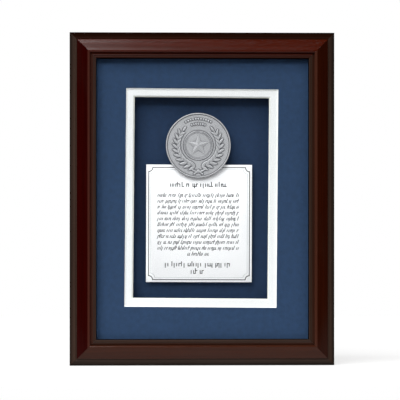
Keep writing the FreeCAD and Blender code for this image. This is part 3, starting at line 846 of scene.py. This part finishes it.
def leaf_relief(x, z, base, angle, length, width, height):
    """A pointed laurel leaf with a grooved midrib, growing from base in direction angle."""
    dx, dz = x - base[0], z - base[1]
    along = (dx * math.cos(angle) + dz * math.sin(angle)) / length
    across = -dx * math.sin(angle) + dz * math.cos(angle)
    inside = np.clip(along, 0, 1)
    half = width / 2 * np.sin(math.pi * inside ** 0.75) ** 0.85 + 1e-6
    body = np.clip(1 - (across / half) ** 2, 0, 1)
    body = np.where((along > 0) & (along < 1), np.sqrt(body), 0)
    midrib = 0.30 * np.exp(-(across / 0.16) ** 2) * (body > 0)
    return height * np.clip(body * (0.75 + 0.25 * np.sin(math.pi * inside)) - midrib, 0, None)


def laurel_branch(x, z, side):
    """Pairs of leaves and small berries up one side of the medallion."""
    relief = np.zeros_like(x)
    stem_radius, pairs = 20.2, 10
    first, last = math.radians(-99), math.radians(-222)
    for i in range(pairs + 1):
        t = i / pairs
        angle = first + (last - first) * t
        grow = angle - math.pi / 2 + math.radians(4)
        base = (stem_radius * math.cos(angle), stem_radius * math.sin(angle))
        size = 1.0 - 0.22 * t
        spreads = (0.0,) if i == pairs else (-0.66, 0.66)
        for turn in spreads:
            leaf = leaf_relief(side * x, z, base, grow + turn, 7.8 * size, 2.7 * size, 0.32)
            relief = np.maximum(relief, leaf)
        berry = (stem_radius * math.cos(angle - 0.06), stem_radius * math.sin(angle - 0.06))
        away = np.hypot(side * x - berry[0], z - berry[1])
        relief = np.maximum(relief, ridge(away, 0.55, 0.24))
    radius = np.hypot(x, z)
    bearing = np.arctan2(z, side * x)
    bearing = np.where(bearing > 0, bearing - 2 * math.pi, bearing)
    on_stem = (bearing < first) & (bearing > last)
    return np.maximum(relief, np.where(on_stem, ridge(radius - stem_radius, 0.42, 0.2), 0))


def star_relief(x, z, tip, waist, height):
    """A faceted star with one point up."""
    radius, bearing = np.hypot(x, z), np.arctan2(x, z)
    sector = math.pi / 5
    folded = np.abs((bearing + sector) % (2 * sector) - sector)
    # the edge runs from the tip, at bearing 0, to the waist, at bearing `sector`
    ax, ay = tip, 0.0
    bx, by = waist * math.cos(sector), waist * math.sin(sector)
    edge = (ax * by - ay * bx) / ((by - ay) * np.cos(folded) - (bx - ax) * np.sin(folded))
    return height * np.clip(1 - radius / edge, 0, 1)


# Radii, heights and places on the struck face, in millimetres.
RIM_INNER, RIM_OUTER = 29.55, 31.1
RIM_HEIGHT = 0.7
PELLET_RING = 25.3
BAR_RING = 20.6
BAND_Z = -22.6
KNOT_Z = -24.4


def medallion_relief(x, z):
    """Height of the struck face over its field, in millimetres, at (x, z) from the centre."""
    radius = np.hypot(x, z)
    field = -0.16 * np.exp(-((radius - 29.3) / 0.35) ** 2)
    rounding = 1 - smooth_step(radius, 30.75, RIM_OUTER) * 0.35
    rim = RIM_HEIGHT * smooth_step(radius, RIM_INNER, 30.0) * rounding
    features = [field, rim, ridge(radius - 13.6, 0.42, 0.24), ridge(radius - 12.5, 0.22, 0.12),
                star_relief(x, z, 11.4, 4.75, 0.62), laurel_branch(x, z, 1), laurel_branch(x, z, -1)]
    for i in range(11):
        bearing = math.radians(62 + 56 * i / 10)
        away = np.hypot(x - PELLET_RING * math.cos(bearing), z - PELLET_RING * math.sin(bearing))
        features.append(ridge(away, 0.95, 0.26))
    for i in range(7):
        bearing = math.radians(72 + 36 * i / 6)
        dx, dz = x - BAR_RING * math.cos(bearing), z - BAR_RING * math.sin(bearing)
        radial = dx * math.cos(bearing) + dz * math.sin(bearing)
        across = -dx * math.sin(bearing) + dz * math.cos(bearing)
        away = np.maximum(np.abs(radial) - 0.7, 0) + np.abs(across) * 0.9
        features.append(ridge(away, 0.65, 0.24))
    band = np.abs(z - BAND_Z + 2.7 * (1 - (x / 6.6) ** 2))
    features.append(np.where(np.abs(x) < 6.8, ridge(band, 0.85, 0.34), 0))
    features.append(ridge(np.hypot(x, (z - KNOT_Z) * 1.1), 1.6, 0.40))
    for side in (1, -1):
        tail = np.abs((side * x - 1.0) * 0.62 + (z + 25.0) * 0.78)
        along = (side * x - 1.0) * 0.78 - (z + 25.0) * 0.62
        features.append(np.where((along > 0) & (along < 4.2), ridge(tail, 0.7, 0.28), 0))
    ripple = 0.012 * np.sin(x * 2.3 + 1.2 * np.sin(z * 1.7)) * np.sin(z * 2.9 + 0.7 * np.sin(x * 1.3))
    return np.maximum.reduce(features) + ripple


def medallion(material):
    """The struck medallion: a fine polar mesh carries the relief on its face."""
    low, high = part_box("medallion")
    centre = (low + high) / 2
    radius = (high.x - low.x) / 2 / MM
    field_drop = 0.70
    steps = 600
    radii = np.concatenate([np.linspace(0.12, 28.8, 120), np.linspace(29.0, radius - 0.02, 18)])
    angles = np.linspace(0, 2 * math.pi, steps, endpoint=False)
    grid_r, grid_a = np.meshgrid(radii, angles, indexing="ij")
    x, z = grid_r * np.cos(grid_a), grid_r * np.sin(grid_a)
    height = medallion_relief(x, z)
    blurred = height.copy()
    for _ in range(14):
        blurred = (blurred + np.roll(blurred, 1, 1) + np.roll(blurred, -1, 1)
                   + np.vstack([blurred[:1], blurred[:-1]]) + np.vstack([blurred[1:], blurred[-1:]])) / 5
    wear = np.clip(0.74 + np.minimum(height - blurred, 0.01) * 15.0, 0, 1)
    front_y = low.y + (field_drop - height) * MM
    verts = [(centre.x, float(front_y[0].mean()), centre.z)]
    verts += [(centre.x + x[i, j] * MM, float(front_y[i, j]), centre.z + z[i, j] * MM)
              for i in range(len(radii)) for j in range(steps)]
    values = [0.7] + [float(v) for v in wear.ravel()]
    thickness = (high.y - low.y) / MM
    edge = [(radius, 0.55), (radius, thickness - 0.35), (radius - 0.3, thickness), (radius * 0.5, thickness)]
    for ring_radius, depth in edge:
        for angle in angles:
            verts.append((centre.x + ring_radius * math.cos(angle) * MM, low.y + depth * MM,
                          centre.z + ring_radius * math.sin(angle) * MM))
            values.append(0.55)
    verts.append((centre.x, high.y, centre.z))
    values.append(0.5)
    faces = [[0, 1 + j, 1 + (j + 1) % steps] for j in range(steps)]
    rings = len(radii) + len(edge)
    for i in range(rings - 1):
        a, b = 1 + i * steps, 1 + (i + 1) * steps
        faces += [[a + j, b + j, b + (j + 1) % steps, a + (j + 1) % steps] for j in range(steps)]
    last = len(verts) - 1
    a = 1 + (rings - 1) * steps
    faces += [[last, a + (j + 1) % steps, a + j] for j in range(steps)]
    mesh = make_mesh("medallion_struck", verts, faces, 70)
    set_values(mesh, "wear", values)
    add_piece("medallion_struck", mesh, [material], replaces=["medallion"])


# ---- hardware on the back ----

SCREW_SHANK_RADIUS = 1.5 * MM
SCREW_HEAD_RADIUS = 3.4 * MM
SCREW_HEAD_HEIGHT = 1.9 * MM
SCREW_LENGTH = 13.0 * MM
SCREW_PLAIN_LENGTH = 2.5 * MM
SCREW_PITCH = 1.1 * MM
SCREW_ROOT = 0.78
# (radius, rise) as shares of the head's radius and height
SCREW_DOME = ((0.30, 0.99), (0.55, 0.95), (0.74, 0.86), (0.88, 0.70), (0.96, 0.50), (1.0, 0.28), (1.0, 0.06),
              (0.97, 0.0))


def screw_mesh(turn_degrees):
    """A pan-head wood screw: its seat on y = 0, its head towards +Y, a cross recess and a coarse thread."""
    head, height, shank = SCREW_HEAD_RADIUS, SCREW_HEAD_HEIGHT, SCREW_SHANK_RADIUS
    profile = [(0, height)]
    profile += [(head * across, height * rise) for across, rise in SCREW_DOME]
    profile += [(shank * 0.95, 0.0), (shank * 0.95, -SCREW_PLAIN_LENGTH)]
    pitch, root = SCREW_PITCH, shank * SCREW_ROOT
    y = -SCREW_PLAIN_LENGTH
    while y > -SCREW_LENGTH + SCREW_PLAIN_LENGTH:
        profile += [(root, y - pitch * 0.3), (shank, y - pitch * 0.5), (root, y - pitch * 0.7)]
        y -= pitch
    profile += [(shank * 0.45, -SCREW_LENGTH + 1.0 * MM), (0, -SCREW_LENGTH)]
    screw = lathe(profile, 40)
    for degrees in (0, 90):
        arm, half, floor = 1.95 * MM, 0.36 * MM, height - 1.0 * MM
        verts = [(sx * arm * k, y, sz * half * k) for y, k in ((floor, 0.75), (height * 1.5, 1.0))
                 for sx, sz in ((-1, -1), (1, -1), (1, 1), (-1, 1))]
        faces = [[0, 1, 2, 3], [4, 5, 6, 7], [0, 1, 5, 4], [1, 2, 6, 5], [2, 3, 7, 6], [3, 0, 4, 7]]
        cutter = make_mesh("recess", verts, faces)
        cutter.transform(Matrix.Rotation(math.radians(turn_degrees + degrees), 4, "Y"))
        screw = carved(screw, cutter)
    return screw


def screws(name, places, seat_y, material, node):
    meshes = []
    for i, (x, z) in enumerate(places):
        mesh = screw_mesh(RNG.uniform(0, 90))
        meshes.append(placed(mesh, Matrix.Translation((x, seat_y, z))))
    mesh = joined(name, meshes, 30)
    add_piece(name, mesh, [material], replaces=[node])


# (radius in millimetres, share of the dimple's height)
DIMPLE_CURVE = ((0.5, 0.96), (0.95, 0.78), (1.3, 0.42), (1.6, 0.08))


def turn_button(node, material):
    """A stamped steel button with rounded edges, a screw hole and a finger dimple."""
    pivot = JOINT_PLACES[node]
    low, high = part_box(node)
    thickness = 1.0 * MM
    middle = (low + high) / 2
    away = Vector((middle.x - pivot.x, 0, middle.z - pivot.z))
    pointing = math.atan2(away.z, away.x)
    wide, tip, reach, hole = 6.0, 4.0, 20.0, 1.56
    tilt = math.degrees(math.asin((wide - tip) / reach))
    outline = arc_points((0, 0), wide, 90 - tilt, 270 + tilt, 32)
    outline += arc_points((reach, 0), tip, -90 + tilt, 90 - tilt, 24)
    hole_outline = arc_points((0, 0), hole, 0, 345, 23)
    flat = plate(in_metres(outline, hole_outline), thickness, 0.18 * MM)
    half = thickness / 2
    bump = 0.5 * MM
    profile = [(0, half + bump)]
    profile += [(radius * MM, half + bump * rise) for radius, rise in DIMPLE_CURVE]
    profile += [(1.75 * MM, half - 0.05 * MM), (0, half - 0.05 * MM)]
    dimple = lathe(profile, 28)
    dimple.transform(Matrix.Translation((reach * MM, 0, 0)))
    mesh = joined(node, [flat, dimple], 40)
    mesh.transform(Matrix.Translation((pivot.x, low.y + half, pivot.z)) @ Matrix.Rotation(-pointing, 4, "Y"))
    add_piece(f"{node}_plate", mesh, [material], body=node, replaces=[node])


def hanger_ring(side, material):
    """The wire D ring, leaning on the stile as it does when the frame hangs."""
    node = f"hanger_ring_{side}"
    axis = JOINT_PLACES[node]
    half, arm, corner, lean = 7.2, 6.0, 2.0, 2.5
    path = arc_points((half - corner, corner), corner, -90, 0, 8)
    path += arc_points((0, arm), half, 0, 180, 40)
    path += arc_points((-half + corner, corner), corner, 180, 270, 8)
    ring = wire_loop(*in_metres(path), 1.2 * MM)
    ring.transform(Matrix.Translation(axis) @ Matrix.Rotation(math.radians(lean), 4, "X"))
    add_piece(f"{node}_wire", ring, [material], body=node, replaces=[node])


def hanger_strap(side, material):
    """A strip of steel folded double round the ring's bar: two leaves of the tail, and the loop."""
    node = f"hanger_strap_{side}"
    axis = JOINT_PLACES[f"hanger_ring_{side}"]
    half_width, leaf, inner, drop = 4.75, 0.8, 1.28, 8.3
    tail = 17.25
    outline = [(half_width, -0.6)] + arc_points((0, -tail), half_width, 0, -180, 24) + [(-half_width, -0.6)]
    hole = arc_points((0, -drop), 1.7, 0, 345, 23)
    leaves = []
    for layer in range(2):
        shape = plate(in_metres(outline, hole), leaf * 0.97 * MM, 0.14 * MM)
        shape.transform(Matrix.Translation((0, -(2.08 - leaf * (layer + 0.5)) * MM, 0)))
        leaves.append(shape)
    steps, edge = 36, 0.15
    section = [(inner, half_width - edge), (inner + edge, half_width), (inner + leaf - edge, half_width),
               (inner + leaf, half_width - edge)]
    section += [(r, -x) for r, x in reversed(section)]
    verts = [Vector((x, r * math.sin(2 * math.pi * i / steps), r * math.cos(2 * math.pi * i / steps))) * MM
             for i in range(steps) for r, x in section]
    count = len(section)
    faces = [quad for i in range(steps) for quad in bridge(i * count, (i + 1) % steps * count, count)]
    loop = make_mesh("loop", verts, faces, 40)
    mesh = joined(node, leaves + [loop], 40)
    mesh.transform(Matrix.Translation(axis))
    add_piece(f"{node}_steel", mesh, [material], replaces=[node])


def wall_bumper(side, material):
    """A moulded rubber bumper with a rounded rim and a shallow dish in its face."""
    node = f"wall_bumper_{side}"
    low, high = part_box(node)
    centre = (low + high) / 2
    height = high.y - low.y
    base = (high.x - low.x) / 2
    face = base * 0.75
    profile = [(0, 0), (base * 0.97, 0), (base, height * 0.05), (base * 0.985, height * 0.12)]
    profile += [(base * 0.93, height * 0.35), (base * 0.84, height * 0.72)]
    profile += [(face + 0.05 * base, height * 0.90), (face, height * 0.97), (face * 0.93, height)]
    profile += [(face * 0.72, height), (face * 0.62, height * 0.95), (face * 0.40, height * 0.91)]
    profile += [(0, height * 0.90)]
    mesh = placed(lathe(profile, 48), Matrix.Translation((centre.x, low.y, centre.z)))
    add_piece(f"{node}_rubber", mesh, [material], replaces=[node])


# ---- stage, lights and camera ----

def add_camera():
    """Level and square to the front but for a small step to the left, where the moulding's side shows."""
    distance, azimuth, lens = 3.0, math.radians(-2.5), 282.0
    aim = Vector((-0.0018, 0, -0.0010))
    data = bpy.data.cameras.new("camera")
    data.lens = lens
    data.sensor_width = 36
    camera = linked("camera", data)
    offset = Vector((math.sin(azimuth), -math.cos(azimuth), 0)) * distance
    camera.location = aim + offset
    camera.rotation_euler = (-offset).to_track_quat("-Z", "Y").to_euler()
    bpy.context.scene.camera = camera


def add_softbox(name, place, aim, width, height, radiance):
    """A rectangular soft light that faces aim."""
    data = bpy.data.lights.new(name, "AREA")
    data.shape = "RECTANGLE"
    data.size = width
    data.size_y = height
    data.energy = radiance * math.pi * width * height
    lamp = linked(name, data)
    lamp.location = place
    lamp.rotation_euler = (Vector(aim) - Vector(place)).to_track_quat("-Z", "Y").to_euler()
    lamp.visible_camera = False


def on_dome(distance, azimuth, elevation):
    """A place at a distance from the object. Azimuth 0 is straight in front and grows to the right."""
    a, e = math.radians(azimuth), math.radians(elevation)
    across, forward, up = math.sin(a) * math.cos(e), -math.cos(a) * math.cos(e), math.sin(e)
    return (distance * across, distance * forward, distance * up)


def add_lights():
    """Three strips up on the left, whose right ends leave a fading sheen on the top rail, and three fills."""
    length, right_end, distance = 3.2, -0.055, 3.0
    middle = right_end - length / 2
    for name, elevation, height, radiance in (("key_low", 35, 0.62, 11.6), ("key_middle", 49.5, 0.86, 5.6),
                                              ("key_high", 64, 0.62, 10.2)):
        _, y, z = on_dome(distance, 0, elevation)
        add_softbox(name, (middle, y, z), (middle, 0, 0), length, height, radiance)
    add_softbox("right_fill", on_dome(3.0, 42, 30), (0, 0, 0), 1.8, 1.5, 2.8)
    add_softbox("left_fill", on_dome(3.0, -16, 14), (0, 0, 0), 0.8, 0.6, 5.0)
    add_softbox("back_light", on_dome(2.4, 160, 12), (0, 0, 0), 1.8, 1.4, 4.0)


def add_world():
    """White where the camera looks past the object, and nearly dark to it, as in a black-walled studio."""
    world = bpy.data.worlds.new("studio")
    world.use_nodes = True
    nodes, links = world.node_tree.nodes, world.node_tree.links
    seen = nodes["Background"]
    seen.inputs["Color"].default_value = (1, 1, 1, 1)
    seen.inputs["Strength"].default_value = 1.0
    room = nodes.new("ShaderNodeBackground")
    room.inputs["Color"].default_value = (1, 1, 1, 1)
    room.inputs["Strength"].default_value = 0.06
    path = nodes.new("ShaderNodeLightPath")
    whole = nodes.new("ShaderNodeMixShader")
    links.new(path.outputs["Is Camera Ray"], whole.inputs[0])
    links.new(room.outputs[0], whole.inputs[1])
    links.new(seen.outputs[0], whole.inputs[2])
    links.new(whole.outputs[0], nodes["World Output"].inputs["Surface"])
    bpy.context.scene.world = world


def add_floor():
    """A pale studio floor, lit a little from within so that it stays white."""
    look = Look("floor_paper", Roughness=0.95, Emission_Color=(1, 1, 1), Emission_Strength=0.64)
    cloud = look.noise(look.place(), 3, 2.0)
    look.colour(look.mixed(cloud, (0.30, 0.30, 0.30), (0.33, 0.33, 0.33)))
    half, front, back, z = 0.8, -0.34, 1.2, CAD_BOX[0].z
    corners = [(-half, front, z), (half, front, z), (half, back, z), (-half, back, z)]
    mesh = make_mesh("floor", corners, [[0, 1, 2, 3]])
    mesh.materials.append(look.material)
    floor = linked("floor", mesh)


# ---- everything together ----

add_camera()
add_world()
add_floor()
add_lights()
bpy.context.scene.view_settings.view_transform = "Standard"

X, Z = Vector((1, 0, 0)), Vector((0, 0, 1))
# Separate tones per rail: the stiles' darker bodies are painted shade, the bottom rail's greyer body and the
# grey edges of the bottom rail and stiles are painted reflection, and the stiles' crest band is painted
# highlight.
TOP_WOOD = moulding_wood("mahogany_top", (0.0420, 0.0042, 0.0007), (0.0100, 0.0028, 0.0012), 0.18, 0.0, 1)
BOTTOM_WOOD_PAINTED_REFLECTION = moulding_wood("mahogany_bottom_painted_reflection", (0.0340, 0.0085, 0.0035), (0.0310, 0.0215, 0.0175), 0.15, 0, 2)
LEFT_WOOD_PAINTED_LIGHT = moulding_wood("mahogany_left_painted_light", (0.0165, 0.0004, 0.0002), (0.0320, 0.0195, 0.0145), 0.04, 1.45, 3)
RIGHT_WOOD_PAINTED_LIGHT = moulding_wood("mahogany_right_painted_light", (0.018, 0.0024, 0.0003), (0.030, 0.018, 0.013), 0.07, 1.05, 4)
moulding("top_rail", X, Z, HALF_WIDTH, HALF_HEIGHT, TOP_WOOD)
moulding("bottom_rail", X, -Z, HALF_WIDTH, HALF_HEIGHT, BOTTOM_WOOD_PAINTED_REFLECTION)
moulding("left_stile", Z, -X, HALF_HEIGHT, HALF_WIDTH, LEFT_WOOD_PAINTED_LIGHT)
moulding("right_stile", Z, X, HALF_HEIGHT, HALF_WIDTH, RIGHT_WOOD_PAINTED_LIGHT)

ZINC = plated_steel("zinc_plate", (0.62, 0.62, 0.60), 0.34)
NICKELED = plated_steel("nickel_plate", (0.68, 0.665, 0.62), 0.24)
add_piece("corner_v_nails_steel", v_nails(), [ZINC], replaces=["corner_v_nails"])

NAVY = board("navy_board", (0.0138, 0.0390, 0.0960), (0.029, 0.060, 0.124), 0.11)
# The mount board is a darker copy of the navy board: painted shade for the recess behind the mats.
NAVY_PAINTED_SHADE = board("navy_mount_board_painted_shade", (0.0068, 0.0245, 0.0690), (0.0135, 0.0375, 0.0880), 0.11)
WHITE = board("white_board", (0.795, 0.790, 0.810), (0.73, 0.725, 0.745), 0.012)
CARD_STOCK = board("card_stock", (0.945, 0.925, 0.960), (0.88, 0.86, 0.89), 0.010, 0.7)
windowed_mat("outer_mat", NAVY, mat_core("white_core", (0.93, 0.93, 0.93)))
windowed_mat("inner_mat", WHITE, mat_core("cream_core", (0.88, 0.88, 0.84)))

CARD = CardPlane()
add_piece("award_card_sheet", card_sheet(CARD), [CARD_STOCK], replaces=["award_card"])
PRINT_INK = ink("print_ink", 0.55, 1800, 0.75, (0.018, 0.018, 0.020), (0.055, 0.055, 0.058))
PALE_INK = ink("pale_ink", 0.5, 1500, 0.7, (0.50, 0.51, 0.53), (0.66, 0.67, 0.69))
card_print(CARD, PRINT_INK, PALE_INK)
medallion(antique_nickel())

CARRIED_OVER = {"glazing": pane_glass(), "mount_board": NAVY_PAINTED_SHADE, "back_panel": hardboard()}
FOAM = foam_board()
for name in ("spacer_top", "spacer_bottom", "spacer_left", "spacer_right", "card_riser", "medallion_riser",
             "foam_backer"):
    CARRIED_OVER[name] = FOAM
for name, material in CARRIED_OVER.items():
    node = frame["nodes"][name]
    node.data.materials.clear()
    node.data.materials.append(material)

BUTTONS = [name for name in frame["nodes"] if name.startswith("turn_button_") and name in JOINT_PLACES]
for name in BUTTONS:
    turn_button(name, ZINC)
button_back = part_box(BUTTONS[0])[0].y + 1.0 * MM
screws("turn_button_screws_cross", [(JOINT_PLACES[name].x, JOINT_PLACES[name].z) for name in BUTTONS],
       button_back + 0.1 * MM, ZINC, "turn_button_screws")

HANGER_SCREW_LOW, HANGER_SCREW_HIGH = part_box("hanger_screws")
hanger_screw_z = (HANGER_SCREW_LOW.z + HANGER_SCREW_HIGH.z) / 2
HANGER_SCREWS = [(JOINT_PLACES[f"hanger_ring_{side}"].x, hanger_screw_z) for side in ("left", "right")]
screws("hanger_screws_cross", HANGER_SCREWS, BACK_Y + 1.6 * MM, NICKELED, "hanger_screws")
RUBBER = bumper_rubber()
for side in ("left", "right"):
    hanger_ring(side, NICKELED)
    hanger_strap(side, NICKELED)
    wall_bumper(side, RUBBER)
